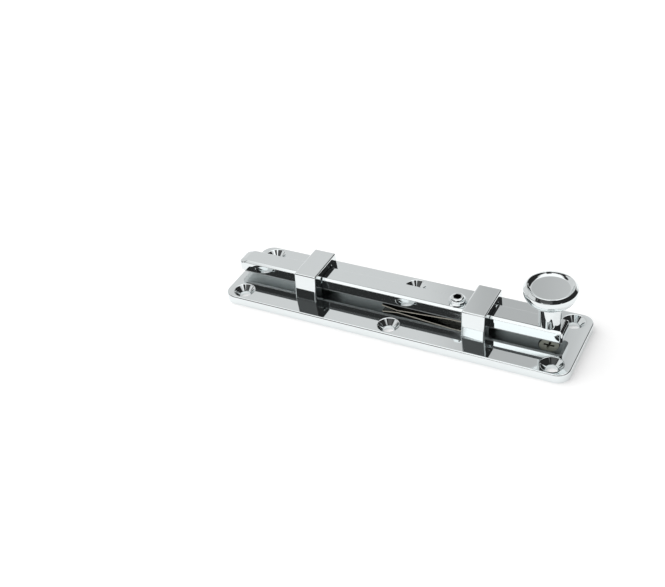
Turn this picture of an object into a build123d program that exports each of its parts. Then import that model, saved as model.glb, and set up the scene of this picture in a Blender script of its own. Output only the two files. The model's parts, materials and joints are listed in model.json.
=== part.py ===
"""Slide bolt for a door, in millimetres.

The origin is at the middle of the plate's back face. +X runs towards the knob, +Y across the plate
and +Z away from the door. The bolt is drawn back, as it stands when the door is free.
"""
import os
from math import radians, tan

from build123d import *

# Base plate
plate_length = 152.4
plate_width = 39.3
plate_thickness = 4.0
plate_corner_radius = 5.4
plate_edge_radius = 0.6

# Fixing holes, placed by the land between each countersink and the plate's edge
fixing_columns = 3
fixing_rows = 2
fixing_hole_radius = 2.25
countersink_radius = 4.55
countersink_angle = 90.0
fixing_end_land = 3.15
fixing_side_land = 1.2

# Sliding bar
bar_width = 9.75
bar_height = 5.6
bar_lift = 2.6
bar_end_setback = 6.8
bar_tip_setback = 0.0
bar_top_bevel_run = 1.1
bar_top_bevel_drop = 0.85
bar_bottom_chamfer = 0.3
bar_end_radius = 1.8
bar_tip_radius = 2.8
nose_top_run = 2.0
nose_top_drop = 1.2
nose_bottom_run = 1.8
nose_bottom_rise = 0.9

# Bridge straps
strap_length = 10.0
strap_side_clearance = 0.3
strap_top_clearance = 0.3
strap_roof = 3.3
strap_wall_top = 4.42
strap_wall_base = 5.66
strap_edge_radius = 0.7
strap_inner_radius = 0.6
front_strap_x = -39.9
rear_strap_x = 35.1

# Round tenons that hold each strap in the plate
tenon_radius = 1.8
tenon_clearance = 0.05

# Knob
knob_setback = 6.5
stem_radius = 4.4
stem_height = 10.0
head_radius = 10.5
bowl_depth = 6.1
head_crown = 2.0
rim_radius = 9.1
rim_bead_radius = 8.4
rim_bead_drop = 0.6
dish_floor_radius = 7.55
dish_depth = 1.3
knob_thread_gap = 2.0

# Knob screw
knob_screw_radius = 2.0
knob_screw_side_land = 0.58
knob_screw_recess = 0.4
knob_screw_head_angle = 90.0
knob_screw_reach = 5.5
cross_length = 4.4
cross_width = 0.9
cross_depth = 1.3

# Stop screw
stop_gap = 1.5
stop_head_radius = 3.85
stop_head_height = 2.8
stop_head_edge = 0.7
stop_head_flat_radius = 2.15
stop_head_shoulder = 1.9
stop_shank_radius = 2.0
stop_hole_floor = 1.1
stop_hole_gap = 0.5
socket_across_flats = 3.0
socket_depth = 1.9

# Leaf spring and its rivet
spring_side_land = 0.2
spring_thickness = 0.5
spring_gap = 0.3
spring_flat_behind = 3.6
spring_flat_ahead = 5.6
spring_slope_run = 23.6
spring_tip_run = 7.0
spring_tip_rise = 1.1
spring_touch_radius = 4.0
spring_bend_radius = 8.0
rivet_web = 1.1
rivet_radius = 1.25
rivet_head_radius = 2.3
rivet_head_height = 0.8
rivet_length = 2.0

# Room between a screw's or rivet's shank and its hole
thread_clearance = 0.05
screw_seat_clearance = 0.05

# Levels above the plate's back face
plate_top = plate_thickness
bar_bottom = plate_top + bar_lift
bar_top = bar_bottom + bar_height
strap_inner_top = bar_top + strap_top_clearance
strap_top = strap_inner_top + strap_roof

# Places along the bar
bar_end_x = plate_length / 2 - bar_end_setback
bar_tip_x = -plate_length / 2 + bar_tip_setback
knob_x = bar_end_x - knob_setback
stop_x = rear_strap_x - strap_length / 2 - stop_gap - stop_head_radius
rivet_x = stop_x + stop_shank_radius + rivet_web + rivet_radius
spring_end_x = rivet_x + spring_flat_behind
spring_bend_x = rivet_x - spring_flat_ahead
spring_touch_x = spring_bend_x - spring_slope_run
spring_tip_x = spring_touch_x - spring_tip_run

# Places across the bar
bar_half = bar_width / 2
strap_inner_half = bar_half + strap_side_clearance
strap_top_half = strap_inner_half + strap_wall_top
strap_base_half = strap_inner_half + strap_wall_base
tenon_y = (strap_inner_half + strap_base_half) / 2
spring_width = bar_width - 2 * spring_side_land

# Knob screw's head, sunk in a countersink that leaves a land on the bar's underside
knob_screw_slope = tan(radians(knob_screw_head_angle / 2))
knob_screw_seat_radius = bar_half - knob_screw_side_land
knob_screw_head_radius = knob_screw_seat_radius - knob_screw_recess * knob_screw_slope - screw_seat_clearance
knob_screw_head_height = (knob_screw_head_radius - knob_screw_radius) / knob_screw_slope
knob_screw_face = bar_bottom + knob_screw_recess
knob_screw_length = bar_top + knob_screw_reach - knob_screw_face

# Depths of the blind holes
knob_thread_depth = knob_screw_reach + knob_thread_gap
stop_hole_depth = bar_height - stop_hole_floor
stop_shank_length = stop_hole_depth - stop_hole_gap

# Pitches of the fixing holes
fixing_length = plate_length - 2 * (fixing_end_land + countersink_radius)
fixing_pitch_x = fixing_length / (fixing_columns - 1)
fixing_pitch_y = plate_width - 2 * (fixing_side_land + countersink_radius)

os.makedirs("parts", exist_ok=True)


def save(part, label):
    """Label a finished piece and write it as one STEP file."""
    part.label = label
    export_step(part, f"parts/{label}.step")


def from_below(x, z):
    """A location on the bar's centre line whose drilling direction points up."""
    return Location((x, 0, z), (180, 0, 0))


def turning_plane(x, z):
    """The upright plane of a turned piece's profile: its radius to the right, its height above z upwards."""
    return Plane((x, 0, z), x_dir=(1, 0, 0), z_dir=(0, -1, 0))


# Base plate with its countersunk holes and the holes for the straps' tenons
with BuildPart() as base_plate:
    with BuildSketch():
        RectangleRounded(plate_length, plate_width, plate_corner_radius)
    extrude(amount=plate_thickness)
    fillet(base_plate.faces().sort_by(Axis.Z)[-1].edges(), plate_edge_radius)
    with Locations((0, 0, plate_top)):
        with GridLocations(fixing_pitch_x, fixing_pitch_y, fixing_columns, fixing_rows):
            CounterSinkHole(fixing_hole_radius, countersink_radius, counter_sink_angle=countersink_angle)
    with BuildSketch():
        with Locations((front_strap_x, 0), (rear_strap_x, 0)):
            with GridLocations(0, 2 * tenon_y, 1, 2):
                Circle(tenon_radius + tenon_clearance)
    extrude(amount=plate_thickness, mode=Mode.SUBTRACT)
save(base_plate.part, "base_plate")


def make_strap(strap_x, label):
    """A cast bridge strap with drafted legs, rounded edges and a round tenon under each leg."""
    strap_side = Plane.YZ.offset(strap_x - strap_length / 2)
    with BuildPart() as strap:
        with BuildSketch(strap_side):
            with BuildLine():
                Polyline(
                    (strap_base_half, plate_top),
                    (strap_top_half, strap_top),
                    (-strap_top_half, strap_top),
                    (-strap_base_half, plate_top),
                    close=True,
                )
            make_face()
        extrude(amount=strap_length)
        foot_edges = strap.edges().group_by(Axis.Z)[0]
        fillet(strap.edges() - foot_edges, strap_edge_radius)
        with BuildSketch(strap_side):
            with BuildLine():
                FilletPolyline(
                    (strap_inner_half, plate_top),
                    (strap_inner_half, strap_inner_top),
                    (-strap_inner_half, strap_inner_top),
                    (-strap_inner_half, plate_top),
                    radius=strap_inner_radius,
                )
                Line((-strap_inner_half, plate_top), (strap_inner_half, plate_top))
            make_face()
        extrude(amount=strap_length, mode=Mode.SUBTRACT)
        with BuildSketch():
            with Locations((strap_x, 0)):
                with GridLocations(0, 2 * tenon_y, 1, 2):
                    Circle(tenon_radius)
        extrude(amount=plate_thickness)
    save(strap.part, label)


make_strap(front_strap_x, "front_strap")
make_strap(rear_strap_x, "rear_strap")


# Sliding bar with bevelled upper edges, rounded corners and a nose bevelled above and below
with BuildPart() as bolt_bar:
    with BuildSketch(Plane.XY.offset(bar_bottom)):
        with BuildLine():
            FilletPolyline(
                (bar_end_x, 0),
                (bar_end_x, bar_half),
                (bar_tip_x, bar_half),
                (bar_tip_x, 0),
                radius=[bar_end_radius, bar_tip_radius],
            )
            mirror(about=Plane.XZ)
        make_face()
    extrude(amount=bar_height)
    top_face = bolt_bar.faces().sort_by(Axis.Z)[-1]
    chamfer(top_face.edges(), bar_top_bevel_run, bar_top_bevel_drop, reference=top_face)
    chamfer(bolt_bar.faces().sort_by(Axis.Z)[0].edges(), bar_bottom_chamfer)
    with BuildSketch(Plane.XZ):
        with BuildLine():
            Polyline(
                (bar_tip_x, bar_top),
                (bar_tip_x + nose_top_run, bar_top),
                (bar_tip_x, bar_top - nose_top_drop),
                close=True,
            )
        make_face()
        with BuildLine():
            Polyline(
                (bar_tip_x, bar_bottom),
                (bar_tip_x + nose_bottom_run, bar_bottom),
                (bar_tip_x, bar_bottom + nose_bottom_rise),
                close=True,
            )
        make_face()
    extrude(amount=bar_half, both=True, mode=Mode.SUBTRACT)
    with Locations((stop_x, 0, bar_top)):
        Hole(stop_shank_radius + thread_clearance, depth=stop_hole_depth)
    with Locations(from_below(knob_x, bar_bottom)):
        CounterSinkHole(
            knob_screw_radius + thread_clearance,
            knob_screw_seat_radius,
            depth=bar_height,
            counter_sink_angle=knob_screw_head_angle,
        )
    with Locations(from_below(rivet_x, bar_bottom)):
        Hole(rivet_radius + thread_clearance, depth=rivet_length + thread_clearance)
save(bolt_bar.part, "bolt_bar")


# Turned knob: stem, bowl-shaped underside, round shoulder, and a bead round the dished top
head_middle = stem_height + bowl_depth
head_top = head_middle + head_crown
bead_foot = head_top - rim_bead_drop
dish_floor = head_top - dish_depth
with BuildPart() as knob:
    with BuildSketch(turning_plane(knob_x, bar_top)):
        with BuildLine():
            Polyline((0, 0), (stem_radius, 0), (stem_radius, stem_height))
            TangentArc((stem_radius, stem_height), (head_radius, head_middle), tangent=(1, 0))
            Bezier((head_radius, head_middle), (head_radius, head_top), (rim_radius, head_top))
            Bezier((rim_radius, head_top), (rim_bead_radius, head_top), (rim_bead_radius, bead_foot))
            Polyline(
                (rim_bead_radius, bead_foot),
                (dish_floor_radius, dish_floor),
                (0, dish_floor),
                (0, 0),
            )
        make_face()
    revolve(axis=Axis((knob_x, 0, 0), (0, 0, 1)))
    with Locations(from_below(knob_x, bar_top)):
        Hole(knob_screw_radius + thread_clearance, depth=knob_thread_depth)
save(knob.part, "knob")


# Countersunk screw that holds the knob, with its head sunk in the bar's underside
with BuildPart() as knob_screw:
    with BuildSketch(turning_plane(knob_x, knob_screw_face)):
        with BuildLine():
            Polyline(
                (0, 0),
                (knob_screw_head_radius, 0),
                (knob_screw_radius, knob_screw_head_height),
                (knob_screw_radius, knob_screw_length),
                (0, knob_screw_length),
                close=True,
            )
        make_face()
    revolve(axis=Axis((knob_x, 0, 0), (0, 0, 1)))
    with BuildSketch(Plane.XY.offset(knob_screw_face)):
        with Locations((knob_x, 0)):
            Rectangle(cross_length, cross_width)
            Rectangle(cross_width, cross_length)
    extrude(amount=cross_depth, mode=Mode.SUBTRACT)
save(knob_screw.part, "knob_screw")


# Domed socket screw that stops the bar against the rear strap
with BuildPart() as stop_screw:
    with BuildSketch(turning_plane(stop_x, bar_top)):
        with BuildLine():
            Polyline(
                (0, -stop_shank_length),
                (stop_shank_radius, -stop_shank_length),
                (stop_shank_radius, 0),
                (stop_head_radius, 0),
                (stop_head_radius, stop_head_edge),
            )
            Bezier(
                (stop_head_radius, stop_head_edge),
                (stop_head_radius, stop_head_shoulder),
                (stop_head_flat_radius, stop_head_height),
            )
            Polyline(
                (stop_head_flat_radius, stop_head_height),
                (0, stop_head_height),
                (0, -stop_shank_length),
            )
        make_face()
    revolve(axis=Axis((stop_x, 0, 0), (0, 0, 1)))
    with BuildSketch(Plane.XY.offset(bar_top + stop_head_height)):
        with Locations((stop_x, 0)):
            RegularPolygon(socket_across_flats / 2, 6, major_radius=False)
    extrude(amount=-socket_depth, mode=Mode.SUBTRACT)
save(stop_screw.part, "stop_screw")


# Leaf spring: flat under the bar, down to the plate and up again at its free tip
spring_flat_z = bar_bottom - spring_thickness / 2
spring_touch_z = plate_top + spring_gap + spring_thickness / 2
with BuildPart() as leaf_spring:
    with BuildSketch(Plane.XZ):
        with BuildLine():
            FilletPolyline(
                (spring_end_x, spring_flat_z),
                (spring_bend_x, spring_flat_z),
                (spring_touch_x, spring_touch_z),
                (spring_tip_x, spring_touch_z + spring_tip_rise),
                radius=[spring_bend_radius, spring_touch_radius],
            )
        trace(line_width=spring_thickness)
    extrude(amount=spring_width / 2, both=True)
    with Locations(from_below(rivet_x, bar_bottom - spring_thickness)):
        Hole(rivet_radius + thread_clearance, depth=spring_thickness)
save(leaf_spring.part, "leaf_spring")


# Rivet that holds the spring to the bar
with BuildPart() as spring_rivet:
    with BuildSketch(turning_plane(rivet_x, bar_bottom - spring_thickness)):
        with BuildLine():
            Polyline(
                (0, -rivet_head_height),
                (0, spring_thickness + rivet_length),
                (rivet_radius, spring_thickness + rivet_length),
                (rivet_radius, 0),
                (rivet_head_radius, 0),
            )
            Bezier((rivet_head_radius, 0), (rivet_head_radius, -rivet_head_height), (0, -rivet_head_height))
        make_face()
    revolve(axis=Axis((rivet_x, 0, 0), (0, 0, 1)))
save(spring_rivet.part, "spring_rivet")
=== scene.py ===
"""A chrome slide bolt on a white studio floor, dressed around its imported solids. Lengths are in metres."""
import json
import math
from dataclasses import dataclass

import bmesh
import bpy
from mathutils import Matrix, Vector


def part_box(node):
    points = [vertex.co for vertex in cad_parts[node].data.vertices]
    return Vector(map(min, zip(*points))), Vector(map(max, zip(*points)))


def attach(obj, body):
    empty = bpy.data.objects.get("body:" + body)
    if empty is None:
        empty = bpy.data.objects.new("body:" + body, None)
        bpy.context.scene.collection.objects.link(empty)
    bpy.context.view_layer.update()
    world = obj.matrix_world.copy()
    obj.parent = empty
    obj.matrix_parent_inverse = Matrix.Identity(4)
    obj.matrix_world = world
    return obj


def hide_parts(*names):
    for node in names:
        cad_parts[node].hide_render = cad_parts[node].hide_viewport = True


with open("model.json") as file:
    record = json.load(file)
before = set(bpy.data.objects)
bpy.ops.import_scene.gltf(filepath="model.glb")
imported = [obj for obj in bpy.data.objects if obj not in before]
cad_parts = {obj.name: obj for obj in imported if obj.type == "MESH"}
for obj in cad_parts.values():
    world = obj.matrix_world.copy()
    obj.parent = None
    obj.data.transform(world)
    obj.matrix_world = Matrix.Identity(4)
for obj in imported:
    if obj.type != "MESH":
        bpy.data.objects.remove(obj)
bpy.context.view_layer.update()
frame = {"nodes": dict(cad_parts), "record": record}

MM = 0.001

# Camera, fitted to the photograph and measured from the middle of the plate's top face
PHOTO_WIDTH_PX = 665
FOCAL_PX = 1082.3
SENSOR_WIDTH_MM = 36.0
CAMERA_AZIMUTH = math.radians(-31.2)
CAMERA_ELEVATION = math.radians(36.6)
CAMERA_ROLL = math.radians(-6.7)
CAMERA_DISTANCE = 449.2 * MM
CAMERA_RIGHT = -29.0 * MM
CAMERA_UP = 4.8 * MM
CLIP_START = 0.01
CLIP_END = 100.0

# Stage
FLOOR_RADIUS = 4.0
FLOOR_SIDES = 96
FLOOR_DROP = 0.1 * MM
FLOOR_GLOW = (0.30, 0.295, 0.295)
FLOOR_ALBEDO = (0.76, 0.765, 0.765)
AMBIENT_LEVEL = 0.40
CAMERA_WHITE = 1.0
LAMP_LEVEL = 0.65
LAMP_AZIMUTH = math.radians(250)
LAMP_ELEVATION = math.radians(50)
LAMP_SPREAD = math.radians(90)

# Fineness of the meshes
TURN_STEPS = 128
HOLE_STEPS = 96
CORNER_STEPS = 16
ROUND_STEPS = 6
FOOT_STEPS = 12
BOWL_STEPS = 48
SHARP_ANGLE = math.radians(32)
SAME_POINT = 0.0001 * MM

# Which of a piece's materials, after its first, goes on which faces
UNDERSIDE_SLOT = 1
SEAT_SLOT = 2
SOCKET_SLOT = 1

# Plate
PLATE_CORNER = 5.4 * MM
PLATE_EDGE = 0.6 * MM
PLATE_BACK_EDGE = 0.15 * MM
COUNTERSINK_RADIUS = 4.55 * MM
COUNTERSINK_LIP = 0.22 * MM
FIXING_HOLE_RADIUS = 2.25 * MM
TENON_RADIUS = 1.8 * MM
TENON_GAP = 0.05 * MM

# Straps
STRAPS = ("front_strap", "rear_strap")
STRAP_WALL_TOP = 4.42 * MM
STRAP_ROOF = 3.3 * MM
STRAP_EDGE = 0.7 * MM
STRAP_INNER_CORNER = 0.6 * MM
STRAP_MOUTH = 0.2 * MM
STRAP_FOOT_EDGE = 0.15 * MM
STRAP_GAP = 0.3 * MM

# Bar
BAR_END_CORNER = 1.1 * MM
BAR_TIP_CORNER = 2.8 * MM
BAR_BEVEL_RUN = 1.1 * MM
BAR_BEVEL_DROP = 0.74 * MM
BAR_SHOULDER_DROP = 2.2 * MM
BAR_SHOULDER_LEAN = 0.12 * MM
BAR_BOTTOM_ROUND = 0.9 * MM
NOSE_TOP_RUN = 2.0 * MM
NOSE_TOP_DROP = 1.2 * MM
NOSE_BOTTOM_RUN = 1.8 * MM
NOSE_BOTTOM_RISE = 0.9 * MM
BAR_EDGE_SOFTNESS = 0.14 * MM
KNOB_SCREW_HOLE = 2.05 * MM
KNOB_SCREW_SEAT = 4.295 * MM
STOP_HOLE = 2.05 * MM
STOP_HOLE_DEPTH = 4.5 * MM
RIVET_HOLE = 1.3 * MM
RIVET_HOLE_DEPTH = 2.05 * MM

# Knob, by radius and by height above the bar
STEM_RADIUS = 4.4 * MM
STEM_HEIGHT = 10.0 * MM
STEM_FOOT_EDGE = 0.25 * MM
HEAD_RADIUS = 10.5 * MM
BOWL_DEPTH = 6.1 * MM
SHOULDER_DROP = 1.35 * MM
CREST_RADIUS = 9.25 * MM
CREST_WIDTH = 0.3 * MM
BEAD_RADIUS = 8.35 * MM
BEAD_DROP = 0.65 * MM
DISH_RADIUS = 7.55 * MM
DISH_DEPTH = 1.3 * MM
RIM_SOFTNESS = 0.3 * MM
KNOB_BORE = 2.05 * MM
KNOB_BORE_DEPTH = 7.5 * MM

# Stop screw, by radius and by height above the bar
STOP_HEAD_RADIUS = 3.85 * MM
STOP_HEAD_HEIGHT = 2.8 * MM
STOP_FOOT_RADIUS = 3.58 * MM
STOP_FOOT_HEIGHT = 0.62 * MM
STOP_CONE_RADIUS = 3.45 * MM
STOP_CONE_HEIGHT = 1.56 * MM
STOP_STEP_HEIGHT = 1.7 * MM
STOP_STEP_RADIUS = 3.2 * MM
STOP_DOME_RADIUS = 3.05 * MM
STOP_BULGE_RADIUS = 2.85 * MM
STOP_BULGE_HEIGHT = 2.65 * MM
STOP_EDGE_SOFTNESS = 0.1 * MM
STOP_FLAT_RADIUS = 2.15 * MM
STOP_SHANK_RADIUS = 2.0 * MM
STOP_SHANK_LENGTH = 4.0 * MM
SOCKET_SIDES = 6
SOCKET_HALF = 1.5 * MM
SOCKET_EDGE = 0.1 * MM
SOCKET_DEPTH = 1.9 * MM
SOCKET_CONE = 0.35 * MM

# Rivet
RIVET_RADIUS = 1.25 * MM
RIVET_HEAD_HEIGHT = 0.8 * MM

# How far sideways a face of the spring points where the painted highlight of its cut edge begins, and where
# it is all cut edge
CUT_EDGE_FACING = (0.7, 0.9)


@dataclass
class Panel:
    """A soft-edged patch of the studio's walls, as a mirror sees it. Azimuth 0 is +Y and 90 is +X."""

    # Angles, in degrees
    azimuth: float
    half_width: float
    low: float
    high: float
    side_blur: float
    edge_blur: float
    # Brightness, where 1 is white
    level: float


# Walls round the object, painted over each other in this order
BASE_LEVEL = 0.78
PANELS = [
    # White ceiling
    Panel(azimuth=180, half_width=180, low=52, high=90, side_blur=1, edge_blur=3, level=1.22),
    # Pale wall behind the far side, shaded towards the right
    Panel(azimuth=-40, half_width=46, low=8, high=50, side_blur=10, edge_blur=10, level=0.74),
    Panel(azimuth=-19.3, half_width=1, low=8, high=46, side_blur=5.5, edge_blur=8, level=0.53),
    # Dark room to the right with a strip light, and its low continuation round to the left
    Panel(azimuth=90, half_width=70, low=3, high=46, side_blur=3, edge_blur=5, level=0.024),
    Panel(azimuth=210, half_width=55, low=3, high=20, side_blur=4, edge_blur=3, level=0.024),
    Panel(azimuth=120, half_width=2.5, low=18, high=33, side_blur=1, edge_blur=2, level=0.96),
    # Dark wall at the far left
    Panel(azimuth=245, half_width=20, low=36, high=49, side_blur=8, edge_blur=2, level=0.04),
    # Grey wall in front with a softbox, dark round the camera at its right and a flag at its left
    Panel(azimuth=184, half_width=19, low=21, high=40.1, side_blur=0.5, edge_blur=0.5, level=0.60),
    Panel(azimuth=198.4, half_width=4.4, low=21, high=40.1, side_blur=1.5, edge_blur=0.5, level=1.44),
    Panel(azimuth=149, half_width=14, low=3, high=58, side_blur=3, edge_blur=4, level=0.024),
    Panel(azimuth=212.2, half_width=9.6, low=18, high=44, side_blur=0.2, edge_blur=3, level=0.036),
    Panel(azimuth=211.2, half_width=11, low=18, high=34, side_blur=0.2, edge_blur=2, level=0.036),
    # Dim wall above the softbox and the flag
    Panel(azimuth=182, half_width=27, low=40.1, high=52.5, side_blur=3, edge_blur=0.5, level=0.096),
    Panel(azimuth=216, half_width=10, low=42, high=48.5, side_blur=6, edge_blur=2, level=0.096),
]


def link(tree, value, socket):
    """Feed a node's output, a number or a colour into a socket."""
    if isinstance(value, bpy.types.NodeSocket):
        tree.links.new(value, socket)
    elif isinstance(value, tuple):
        socket.default_value = (*value, 1)
    else:
        socket.default_value = value


def math_node(tree, operation, *values):
    """One Math node with these inputs."""
    node = tree.nodes.new("ShaderNodeMath")
    node.operation = operation
    for value, socket in zip(values, node.inputs):
        link(tree, value, socket)
    return node.outputs[0]


def mix(tree, factor, first, second, blend="MIX"):
    """A number or colour that goes from the first to the second as the factor goes from 0 to 1."""
    node = tree.nodes.new("ShaderNodeMix")
    if isinstance(second, tuple):
        node.data_type = "RGBA"
        node.blend_type = blend
    link(tree, factor, node.inputs["Factor"])
    link(tree, first, node.inputs["A"])
    link(tree, second, node.inputs["B"])
    return node.outputs["Result"]


def components(tree, node_type, output):
    """The x, y and z of a vector that a new node gives."""
    node = tree.nodes.new("ShaderNodeSeparateXYZ")
    tree.links.new(tree.nodes.new(node_type).outputs[output], node.inputs[0])
    return node.outputs


def smooth_step(tree, value, start, end):
    """0 before start, 1 after end and a smooth rise between them."""
    node = tree.nodes.new("ShaderNodeMapRange")
    node.interpolation_type = "SMOOTHSTEP"
    link(tree, value, node.inputs["Value"])
    node.inputs["From Min"].default_value = start
    node.inputs["From Max"].default_value = end
    return node.outputs["Result"]


def noise(tree, scale, detail, roughness=0.5, stretch=None):
    """Noise in the object's own frame, from 0 to 1, with features of about 1 / scale metres."""
    place = tree.nodes.new("ShaderNodeTexCoord").outputs["Object"]
    if stretch:
        mapping = tree.nodes.new("ShaderNodeMapping")
        mapping.inputs["Scale"].default_value = stretch
        tree.links.new(place, mapping.inputs["Vector"])
        place = mapping.outputs["Vector"]
    node = tree.nodes.new("ShaderNodeTexNoise")
    tree.links.new(place, node.inputs["Vector"])
    node.inputs["Scale"].default_value = scale
    node.inputs["Detail"].default_value = detail
    node.inputs["Roughness"].default_value = roughness
    return node.outputs["Fac"]


def bump(tree, height, strength, distance):
    """A normal that follows a height."""
    node = tree.nodes.new("ShaderNodeBump")
    tree.links.new(height, node.inputs["Height"])
    node.inputs["Strength"].default_value = strength
    node.inputs["Distance"].default_value = distance
    return node.outputs["Normal"]


def metal(name, colours, roughness, smudge_scale, wave_scale, wave_height, stretch=None):
    """A metal with faint smudges in its colour and polish, and the waviness that polishing leaves."""
    material = bpy.data.materials.new(name)
    material.use_nodes = True
    tree = material.node_tree
    shader = tree.nodes["Principled BSDF"]
    smudges = noise(tree, smudge_scale, detail=4.0, roughness=0.6, stretch=stretch)
    tree.links.new(mix(tree, smudges, *colours), shader.inputs["Base Color"])
    tree.links.new(mix(tree, smudges, *roughness), shader.inputs["Roughness"])
    waves = noise(tree, wave_scale, detail=1.0, stretch=stretch)
    tree.links.new(bump(tree, waves, strength=1.0, distance=wave_height), shader.inputs["Normal"])
    shader.inputs["Metallic"].default_value = 1.0
    return material


def cover(material, socket_name, factor, finish, blend="MIX"):
    """Mix a finish over what feeds a socket of a material's shader."""
    tree = material.node_tree
    socket = tree.nodes["Principled BSDF"].inputs[socket_name]
    below = socket.links[0].from_socket
    tree.links.new(mix(tree, factor, below, finish, blend), socket)


def paint_highlight_on_cut_edges(material, colour, roughness):
    """Paint a highlight into the colour of a strip's edges, where it was cut along its length, and give them
    a rougher finish.
    """
    tree = material.node_tree
    facing = components(tree, "ShaderNodeNewGeometry", "Normal")
    sideways = smooth_step(tree, math_node(tree, "ABSOLUTE", facing["Y"]), *CUT_EDGE_FACING)
    cover(material, "Base Color", sideways, colour)
    cover(material, "Roughness", sideways, roughness)


def paint_shade_along_bar(material, start_x, end_x, shade):
    """Darken a metal along the bar with painted shade, from one place to another and on from there."""
    tree = material.node_tree
    place = components(tree, "ShaderNodeTexCoord", "Object")
    # Painted shade, rising along the bar from start_x to end_x and staying on beyond
    painted_shade_mask = smooth_step(tree, place["X"], start_x, end_x)
    cover(material, "Base Color", painted_shade_mask, (shade, shade, shade), "MULTIPLY")


def dress(node, material):
    """Give a node one material."""
    mesh = frame["nodes"][node].data
    mesh.materials.clear()
    mesh.materials.append(material)


def bezier(start, control, end, steps):
    """Points along a quadratic curve, without its first point."""
    start, control, end = Vector(start), Vector(control), Vector(end)
    shares = [(step + 1) / steps for step in range(steps)]
    return [(1 - t) ** 2 * start + 2 * t * (1 - t) * control + t ** 2 * end for t in shares]


def soften(points, reach):
    """A path with each inner corner rounded by a curve that starts and ends this far from it."""
    points = [Vector(point) for point in points]
    path = [points[0]]
    for before, corner, after in zip(points, points[1:], points[2:]):
        start = corner + min(reach, (before - corner).length / 2) * (before - corner).normalized()
        end = corner + min(reach, (after - corner).length / 2) * (after - corner).normalized()
        path += [start] + bezier(start, corner, end, ROUND_STEPS)
    path.append(points[-1])
    pairs = zip(path, path[1:])
    return [path[0]] + [after for before, after in pairs if (after - before).length > SAME_POINT]


def quarter_turn(steps):
    """Angles from nothing to a right angle."""
    return [math.radians(90) * step / steps for step in range(steps + 1)]


def bridge(bm, lower, upper):
    """A band of faces between two rings, either of which may be a single point."""
    count = max(len(lower), len(upper))
    for index in range(count):
        after = (index + 1) % count
        corners = [lower[index % len(lower)], lower[after % len(lower)],
                   upper[after % len(upper)], upper[index % len(upper)]]
        bm.faces.new(list(dict.fromkeys(corners)))


def stack(bm, rings):
    """Join rings one to the next."""
    for lower, upper in zip(rings, rings[1:]):
        bridge(bm, lower, upper)
    return rings


def fill(bm, rings):
    """A flat face bounded by the first ring, with the other rings as its holes."""
    edges = [bm.edges.get((a, b)) for ring in rings for a, b in zip(ring, ring[1:] + ring[:1])]
    bmesh.ops.triangle_fill(bm, use_beauty=True, edges=edges)


def paint(bm, earlier_faces, slot):
    """Give the faces made since then another of the piece's materials."""
    for face in set(bm.faces) - earlier_faces:
        face.material_index = slot


def circle(bm, x, y, radius, z, steps):
    """A ring of vertices, or one vertex where the radius is nothing."""
    if radius == 0:
        return [bm.verts.new((x, y, z))]
    turns = [math.tau * step / steps for step in range(steps)]
    return [bm.verts.new((x + radius * math.cos(a), y + radius * math.sin(a), z)) for a in turns]


def turn(bm, x, y, profile, steps=TURN_STEPS):
    """The surface that a profile of radius and height makes round an upright axis."""
    return stack(bm, [circle(bm, x, y, radius, z, steps) for radius, z in profile])


def outline(bm, low, high, radii, z, inset=0.0, tip=0.0):
    """A ring round a rectangle with rounded corners, drawn in all round and, by tip, at its low end."""
    ring = []
    for quarter, (along, across) in enumerate(((1, 1), (0, 1), (0, 0), (1, 0))):
        radius = radii[along]
        x = high.x - radius if along else low.x + radius + tip
        y = high.y - radius if across else low.y + radius
        for step in range(CORNER_STEPS + 1):
            angle = math.radians(90) * (quarter + step / CORNER_STEPS)
            ring.append(bm.verts.new((
                x + (radius - inset) * math.cos(angle), y + (radius - inset) * math.sin(angle), z)))
    return ring


def add_piece(bm, name, node, body, materials):
    """Close a mesh into a piece that stands for a node and rides on its body."""
    bmesh.ops.recalc_face_normals(bm, faces=bm.faces)
    for face in bm.faces:
        face.smooth = True
    mesh = bpy.data.meshes.new(name)
    bm.to_mesh(mesh)
    bm.free()
    mesh.set_sharp_from_angle(angle=SHARP_ANGLE)
    for material in materials:
        mesh.materials.append(material)
    piece = bpy.data.objects.new(name, mesh)
    bpy.context.scene.collection.objects.link(piece)
    normals = piece.modifiers.new("flat_faces_stay_flat", "WEIGHTED_NORMAL")
    normals.keep_sharp = True
    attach(piece, body)
    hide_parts(node)


def mount(name):
    """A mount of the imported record."""
    return next(entry for entry in frame["record"]["mounts"] if entry["name"] == name)


def middle_x(node):
    """The middle of a node along the plate."""
    low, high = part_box(node)
    return (low.x + high.x) / 2


def strap_inner_half():
    """Half of the width of the straps' openings."""
    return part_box("bolt_bar")[1].y + STRAP_GAP


def tenon_places(node):
    """The middles of a strap's two legs, where its tenons are."""
    leg_y = (strap_inner_half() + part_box(node)[1].y) / 2
    return [(middle_x(node), -leg_y), (middle_x(node), leg_y)]


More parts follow.
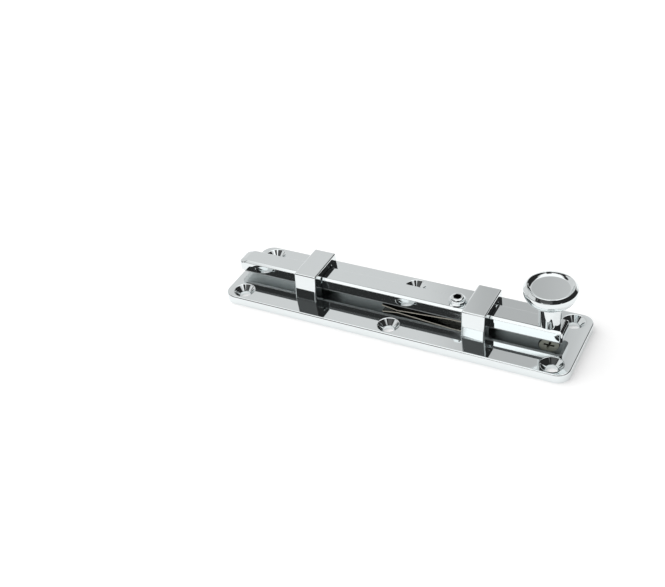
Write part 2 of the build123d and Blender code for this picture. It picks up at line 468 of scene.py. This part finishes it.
def make_plate(chrome):
    """The back plate, with rounded edges, six countersunk holes and the tenons' four holes."""
    low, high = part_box("base_plate")
    bm = bmesh.new()
    edge = [(PLATE_BACK_EDGE, low.z), (0, low.z + PLATE_BACK_EDGE)]
    for angle in quarter_turn(ROUND_STEPS):
        edge.append((PLATE_EDGE * (1 - math.cos(angle)), high.z - PLATE_EDGE * (1 - math.sin(angle))))
    corners = (PLATE_CORNER, PLATE_CORNER)
    rim = stack(bm, [outline(bm, low, high, corners, z, inset) for inset, z in edge])
    cone_foot = high.z - (COUNTERSINK_RADIUS - FIXING_HOLE_RADIUS)
    hole_profile = soften([
        (COUNTERSINK_RADIUS + 2 * COUNTERSINK_LIP, high.z),
        (COUNTERSINK_RADIUS, high.z),
        (FIXING_HOLE_RADIUS, cone_foot),
        (FIXING_HOLE_RADIUS, low.z),
    ], COUNTERSINK_LIP)
    spacing = mount("corner_holes")["dims"]
    half_x = spacing["spacing_x_mm"] * MM / 2
    half_y = spacing["spacing_y_mm"] * MM / 2
    holes = []
    for x in (-half_x, 0, half_x):
        for y in (-half_y, half_y):
            holes.append(turn(bm, x, y, hole_profile, HOLE_STEPS))
    tenon_hole = [(TENON_RADIUS + TENON_GAP, high.z), (TENON_RADIUS + TENON_GAP, low.z)]
    for node in STRAPS:
        for x, y in tenon_places(node):
            holes.append(turn(bm, x, y, tenon_hole, HOLE_STEPS))
    fill(bm, [rim[-1]] + [hole[0] for hole in holes])
    fill(bm, [rim[0]] + [hole[-1] for hole in holes])
    add_piece(bm, "polished_back_plate", "base_plate", "base", [chrome])


def strap_section(bm, x, inset, mouth):
    """A ring round the straps' section: up one leg, over the top, down, and back round the opening."""
    plate_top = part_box("base_plate")[1].z
    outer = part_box("front_strap")[1]
    top = outer.z - inset
    base_half = outer.y - inset
    inner_half = strap_inner_half() + mouth
    top_half = strap_inner_half() + STRAP_WALL_TOP - inset
    inner_top = outer.z - STRAP_ROOF + mouth
    corner = max(STRAP_EDGE - inset, STRAP_MOUTH)
    lean = (base_half - top_half) / (top - plate_top)
    half_path = soften([
        (base_half - STRAP_FOOT_EDGE, plate_top),
        (base_half - lean * STRAP_FOOT_EDGE, plate_top + STRAP_FOOT_EDGE),
        (top_half, top),
        (0, top),
    ], corner)
    opening = soften([(0, inner_top), (inner_half, inner_top), (inner_half, plate_top)], STRAP_INNER_CORNER)
    outside = half_path[:-1] + [Vector((-y, z)) for y, z in reversed(half_path[:-1])]
    inside = [Vector((-y, z)) for y, z in reversed(opening[1:])] + opening[1:]
    return [bm.verts.new((x, y, z)) for y, z in outside + inside]


def make_strap(node, chrome):
    """A bridge strap with drafted legs, rounded edges, an eased mouth and two tenons."""
    low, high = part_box(node)
    bm = bmesh.new()
    stations = []
    for angle in quarter_turn(ROUND_STEPS):
        depth = STRAP_EDGE * (1 - math.cos(angle))
        inset = STRAP_EDGE * (1 - math.sin(angle))
        stations.append((depth, inset, max(0.0, STRAP_MOUTH - depth)))
    rings = [strap_section(bm, low.x + depth, inset, mouth) for depth, inset, mouth in stations]
    rings += [strap_section(bm, high.x - depth, inset, mouth) for depth, inset, mouth in reversed(stations)]
    stack(bm, rings)
    bm.faces.new(rings[0])
    bm.faces.new(rings[-1])
    plate_low, plate_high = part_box("base_plate")
    tenon_profile = [(TENON_RADIUS, plate_low.z), (TENON_RADIUS, plate_high.z)]
    for x, y in tenon_places(node):
        tenon = turn(bm, x, y, tenon_profile)
        bm.faces.new(tenon[0])
        bm.faces.new(tenon[1])
    add_piece(bm, f"polished_{node}", node, "base", [chrome])


def make_bar(chrome, dull_chrome, dark):
    """The sliding bar: bevelled edges and nose, a dull underside and painted shade in the seat for the knob
    screw.
    """
    low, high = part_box("bolt_bar")
    bm = bmesh.new()
    half_bevel = BAR_BEVEL_DROP / NOSE_TOP_DROP
    shoulder = (NOSE_TOP_DROP - BAR_BEVEL_DROP) / (BAR_SHOULDER_DROP - BAR_BEVEL_DROP)
    foot = [Vector((BAR_BOTTOM_ROUND, NOSE_BOTTOM_RUN, low.z))]
    foot += bezier(foot[0], (0, NOSE_BOTTOM_RUN, low.z), (0, 0, low.z + NOSE_BOTTOM_RISE), FOOT_STEPS)
    sides = soften([
        foot[-1],
        (0, 0, high.z - BAR_SHOULDER_DROP),
        (BAR_SHOULDER_LEAN * (1 - shoulder), 0, high.z - NOSE_TOP_DROP),
        (BAR_SHOULDER_LEAN, NOSE_TOP_RUN * (1 - half_bevel), high.z - BAR_BEVEL_DROP),
        (BAR_BEVEL_RUN, NOSE_TOP_RUN, high.z),
        (BAR_BEVEL_RUN + 2 * BAR_EDGE_SOFTNESS, NOSE_TOP_RUN + 2 * BAR_EDGE_SOFTNESS, high.z),
    ], BAR_EDGE_SOFTNESS)
    corners = (BAR_TIP_CORNER, BAR_END_CORNER)
    rim = [outline(bm, low, high, corners, z, inset, tip) for inset, tip, z in foot + sides[1:]]
    stack(bm, rim[:len(foot)])
    paint(bm, set(), UNDERSIDE_SLOT)
    stack(bm, rim[len(foot) - 1:])
    sides_only = set(bm.faces)
    knob_hole = turn(bm, middle_x("knob"), 0, [
        (KNOB_SCREW_SEAT, low.z),
        (KNOB_SCREW_HOLE, low.z + KNOB_SCREW_SEAT - KNOB_SCREW_HOLE),
        (KNOB_SCREW_HOLE, high.z),
    ], HOLE_STEPS)
    # Painted shade in the knob screw's seat
    paint(bm, sides_only, SEAT_SLOT)
    stop_hole = turn(bm, middle_x("stop_screw"), 0, [
        (STOP_HOLE, high.z),
        (STOP_HOLE, high.z - STOP_HOLE_DEPTH),
        (0, high.z - STOP_HOLE_DEPTH),
    ], HOLE_STEPS)
    rivet_hole = turn(bm, middle_x("spring_rivet"), 0, [
        (RIVET_HOLE, low.z),
        (RIVET_HOLE, low.z + RIVET_HOLE_DEPTH),
        (0, low.z + RIVET_HOLE_DEPTH),
    ], HOLE_STEPS)
    fill(bm, [rim[-1], knob_hole[-1], stop_hole[0]])
    all_but_underside = set(bm.faces)
    fill(bm, [rim[0], knob_hole[0], rivet_hole[0]])
    paint(bm, all_but_underside, UNDERSIDE_SLOT)
    add_piece(bm, "polished_bolt_bar", "bolt_bar", "bolt", [chrome, dull_chrome, dark])


def make_knob(chrome):
    """The turned knob: stem, bowl, steep shoulder, narrow crest, bead and dish."""
    low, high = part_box("knob")
    base = low.z
    top = high.z - base
    middle = STEM_HEIGHT + BOWL_DEPTH
    profile = [
        (0, KNOB_BORE_DEPTH),
        (KNOB_BORE, KNOB_BORE_DEPTH),
        (KNOB_BORE, 0),
        (STEM_RADIUS - STEM_FOOT_EDGE, 0),
        (STEM_RADIUS, STEM_FOOT_EDGE),
        (STEM_RADIUS, STEM_HEIGHT),
    ]
    for angle in quarter_turn(BOWL_STEPS)[1:]:
        radius = STEM_RADIUS + (HEAD_RADIUS - STEM_RADIUS) * math.sin(angle)
        profile.append((radius, middle - BOWL_DEPTH * math.cos(angle)))
    profile += soften([
        (HEAD_RADIUS, middle),
        (HEAD_RADIUS, top - SHOULDER_DROP),
        (CREST_RADIUS, top),
        (CREST_RADIUS - CREST_WIDTH, top),
        (BEAD_RADIUS, top - BEAD_DROP),
        (DISH_RADIUS, top - DISH_DEPTH),
        (0, top - DISH_DEPTH),
    ], RIM_SOFTNESS)[1:]
    bm = bmesh.new()
    turn(bm, middle_x("knob"), 0, [(radius, base + height) for radius, height in profile])
    add_piece(bm, "polished_knob", "knob", "bolt", [chrome])


def make_stop_screw(chrome, shade_in_holes):
    """The stop screw: a dome on a leaning flange, with painted shade in its hexagon socket."""
    x = middle_x("stop_screw")
    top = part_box("stop_screw")[1].z
    base = top - STOP_HEAD_HEIGHT
    bm = bmesh.new()
    profile = [
        (0, base - STOP_SHANK_LENGTH),
        (STOP_SHANK_RADIUS, base - STOP_SHANK_LENGTH),
        (STOP_SHANK_RADIUS, base),
    ]
    profile += soften([
        (STOP_HEAD_RADIUS, base),
        (STOP_FOOT_RADIUS, base + STOP_FOOT_HEIGHT),
        (STOP_CONE_RADIUS, base + STOP_CONE_HEIGHT),
        (STOP_STEP_RADIUS, base + STOP_STEP_HEIGHT),
        (STOP_DOME_RADIUS, base + STOP_STEP_HEIGHT),
    ], STOP_EDGE_SOFTNESS)
    bulge = (STOP_BULGE_RADIUS, base + STOP_BULGE_HEIGHT)
    profile += bezier(profile[-1], bulge, (STOP_FLAT_RADIUS, top), CORNER_STEPS)
    head = turn(bm, x, 0, profile)
    across_corners = SOCKET_HALF / math.cos(math.pi / SOCKET_SIDES)
    levels = [
        (across_corners + SOCKET_EDGE, top),
        (across_corners, top - SOCKET_EDGE),
        (across_corners, top - SOCKET_DEPTH),
        (0, top - SOCKET_DEPTH - SOCKET_CONE),
    ]
    outer_faces = set(bm.faces)
    socket = turn(bm, x, 0, levels, SOCKET_SIDES)
    # Painted shade in the hexagon socket
    paint(bm, outer_faces, SOCKET_SLOT)
    fill(bm, [head[-1], socket[0]])
    add_piece(bm, "polished_stop_screw", "stop_screw", "bolt", [chrome, shade_in_holes])


def make_rivet(steel):
    """The spring's rivet: a domed head below the strip, and a plain shank."""
    low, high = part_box("spring_rivet")
    head_radius = (high.x - low.x) / 2
    head_top = low.z + RIVET_HEAD_HEIGHT
    profile = [(0, low.z)]
    profile += bezier(profile[0], (head_radius, low.z), (head_radius, head_top), CORNER_STEPS)
    profile += [(RIVET_RADIUS, head_top), (RIVET_RADIUS, high.z), (0, high.z)]
    bm = bmesh.new()
    turn(bm, middle_x("spring_rivet"), 0, profile)
    add_piece(bm, "turned_spring_rivet", "spring_rivet", "bolt", [steel])


def make_world():
    """White to the camera, an even dim light to matt surfaces, and the studio's walls to a mirror."""
    world = bpy.data.worlds.new("studio")
    bpy.context.scene.world = world
    world.use_nodes = True
    tree = world.node_tree
    tree.nodes.clear()
    east, north, up = components(tree, "ShaderNodeTexCoord", "Generated")
    east_squared = math_node(tree, "MULTIPLY", east, east)
    north_squared = math_node(tree, "MULTIPLY", north, north)
    flat_length = math_node(tree, "SQRT", math_node(tree, "ADD", east_squared, north_squared))
    elevation = math_node(tree, "DEGREES", math_node(tree, "ARCTAN2", up, flat_length))
    level = BASE_LEVEL
    for panel in PANELS:
        angle = math.radians(panel.azimuth)
        east_share = math_node(tree, "MULTIPLY", east, math.sin(angle))
        north_share = math_node(tree, "MULTIPLY", north, math.cos(angle))
        towards = math_node(tree, "ADD", east_share, north_share)
        cosine = math_node(tree, "DIVIDE", towards, flat_length)
        away = math_node(tree, "DEGREES", math_node(tree, "ARCCOSINE", cosine))
        inside = smooth_step(tree, away, panel.half_width + panel.side_blur, panel.half_width)
        above = smooth_step(tree, elevation, panel.low, panel.low + panel.edge_blur)
        below = smooth_step(tree, elevation, panel.high + panel.edge_blur, panel.high)
        mask = math_node(tree, "MULTIPLY", inside, math_node(tree, "MULTIPLY", above, below))
        level = mix(tree, mask, level, panel.level)
    rays = tree.nodes.new("ShaderNodeLightPath").outputs
    mirrored = mix(tree, rays["Is Glossy Ray"], AMBIENT_LEVEL, level)
    seen = mix(tree, rays["Is Camera Ray"], mirrored, CAMERA_WHITE)
    background = tree.nodes.new("ShaderNodeBackground")
    background.inputs["Color"].default_value = (1, 1, 1, 1)
    tree.links.new(seen, background.inputs["Strength"])
    output = tree.nodes.new("ShaderNodeOutputWorld")
    tree.links.new(background.outputs[0], output.inputs["Surface"])


def make_floor():
    """A white floor that keeps the object's soft, faintly warm shadow."""
    bpy.ops.mesh.primitive_circle_add(
        vertices=FLOOR_SIDES, radius=FLOOR_RADIUS, fill_type="NGON", location=(0, 0, -FLOOR_DROP))
    floor = bpy.context.object
    floor.name = "floor"
    material = bpy.data.materials.new("floor_white")
    material.use_nodes = True
    tree = material.node_tree
    tree.nodes.clear()
    glow = tree.nodes.new("ShaderNodeEmission")
    glow.inputs["Color"].default_value = (*FLOOR_GLOW, 1)
    matt = tree.nodes.new("ShaderNodeBsdfDiffuse")
    matt.inputs["Color"].default_value = (*FLOOR_ALBEDO, 1)
    both = tree.nodes.new("ShaderNodeAddShader")
    tree.links.new(glow.outputs[0], both.inputs[0])
    tree.links.new(matt.outputs[0], both.inputs[1])
    output = tree.nodes.new("ShaderNodeOutputMaterial")
    tree.links.new(both.outputs[0], output.inputs["Surface"])
    floor.data.materials.append(material)


def direction(azimuth, elevation):
    """The way to a place this far round from +Y towards +X, and this far up."""
    return Vector((
        math.sin(azimuth) * math.cos(elevation),
        math.cos(azimuth) * math.cos(elevation),
        math.sin(elevation),
    ))


def make_lamp():
    """A broad soft lamp at the left, which lights the floor and throws the object's shadow to the right."""
    data = bpy.data.lights.new("soft_lamp", "SUN")
    data.angle = LAMP_SPREAD
    data.energy = LAMP_LEVEL * math.pi / math.sin(LAMP_ELEVATION)
    lamp = bpy.data.objects.new("soft_lamp", data)
    bpy.context.scene.collection.objects.link(lamp)
    towards_lamp = direction(LAMP_AZIMUTH, LAMP_ELEVATION)
    lamp.rotation_euler = towards_lamp.to_track_quat("Z", "Y").to_euler()
    lamp.visible_glossy = False


def make_camera():
    """The camera at the photograph's place, angle and lens."""
    plate_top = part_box("base_plate")[1].z
    forward = direction(CAMERA_AZIMUTH, -CAMERA_ELEVATION)
    level_right = Vector((math.cos(CAMERA_AZIMUTH), -math.sin(CAMERA_AZIMUTH), 0))
    level_up = level_right.cross(forward)
    right = math.cos(CAMERA_ROLL) * level_right + math.sin(CAMERA_ROLL) * level_up
    up = -math.sin(CAMERA_ROLL) * level_right + math.cos(CAMERA_ROLL) * level_up
    place = Vector((0, 0, plate_top)) + CAMERA_RIGHT * right + CAMERA_UP * up - CAMERA_DISTANCE * forward
    data = bpy.data.cameras.new("camera")
    data.sensor_fit = "HORIZONTAL"
    data.sensor_width = SENSOR_WIDTH_MM
    data.lens = SENSOR_WIDTH_MM * FOCAL_PX / PHOTO_WIDTH_PX
    data.clip_start = CLIP_START
    data.clip_end = CLIP_END
    camera = bpy.data.objects.new("camera", data)
    bpy.context.scene.collection.objects.link(camera)
    turned = Matrix((right, up, -forward)).transposed().to_4x4()
    camera.matrix_world = Matrix.Translation(place) @ turned
    bpy.context.scene.camera = camera


chrome = metal(
    "polished_chrome",
    colours=((0.785, 0.822, 0.828), (0.805, 0.842, 0.848)),
    roughness=(0.015, 0.05),
    smudge_scale=90,
    wave_scale=260,
    wave_height=0.0015 * MM,
)
dull_chrome = metal(
    "unpolished_underside",
    colours=((0.44, 0.46, 0.46), (0.62, 0.64, 0.64)),
    roughness=(0.30, 0.45),
    smudge_scale=400,
    wave_scale=900,
    wave_height=0.01 * MM,
    stretch=(0.06, 1, 1),
)
# Painted shade: a near black metal for the stop screw's hexagon socket and the bar's seat for the knob
# screw, where the holes lie in shade
shade_in_holes = metal(
    "painted_recess_shade",
    colours=((0.05, 0.05, 0.05), (0.12, 0.12, 0.12)),
    roughness=(0.25, 0.45),
    smudge_scale=900,
    wave_scale=1500,
    wave_height=0.01 * MM,
)
screw_steel = metal(
    "dull_screw_steel",
    colours=((0.36, 0.35, 0.29), (0.56, 0.54, 0.46)),
    roughness=(0.30, 0.42),
    smudge_scale=700,
    wave_scale=1500,
    wave_height=0.01 * MM,
)
spring_steel = metal(
    "tempered_spring_steel",
    colours=((0.16, 0.15, 0.14), (0.25, 0.24, 0.22)),
    roughness=(0.12, 0.24),
    smudge_scale=500,
    wave_scale=1500,
    wave_height=0.006 * MM,
    stretch=(0.08, 1, 1),
)
front_low, front_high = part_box("front_strap")
# Painted shade on the bar's dull underside, from the front strap on, where it lies in shade between the
# straps
paint_shade_along_bar(dull_chrome, front_low.x, front_high.x, shade=0.62)
# Painted highlight on the spring's cut edges, where they catch the light, with a rougher finish
paint_highlight_on_cut_edges(spring_steel, colour=(0.80, 0.75, 0.66), roughness=0.5)
make_plate(chrome)
for strap in STRAPS:
    make_strap(strap, chrome)
make_bar(chrome, dull_chrome, shade_in_holes)
make_knob(chrome)
make_stop_screw(chrome, shade_in_holes)
dress("knob_screw", screw_steel)
dress("leaf_spring", spring_steel)
make_rivet(spring_steel)

make_world()
make_floor()
make_lamp()
make_camera()
bpy.context.scene.view_settings.view_transform = "Standard"
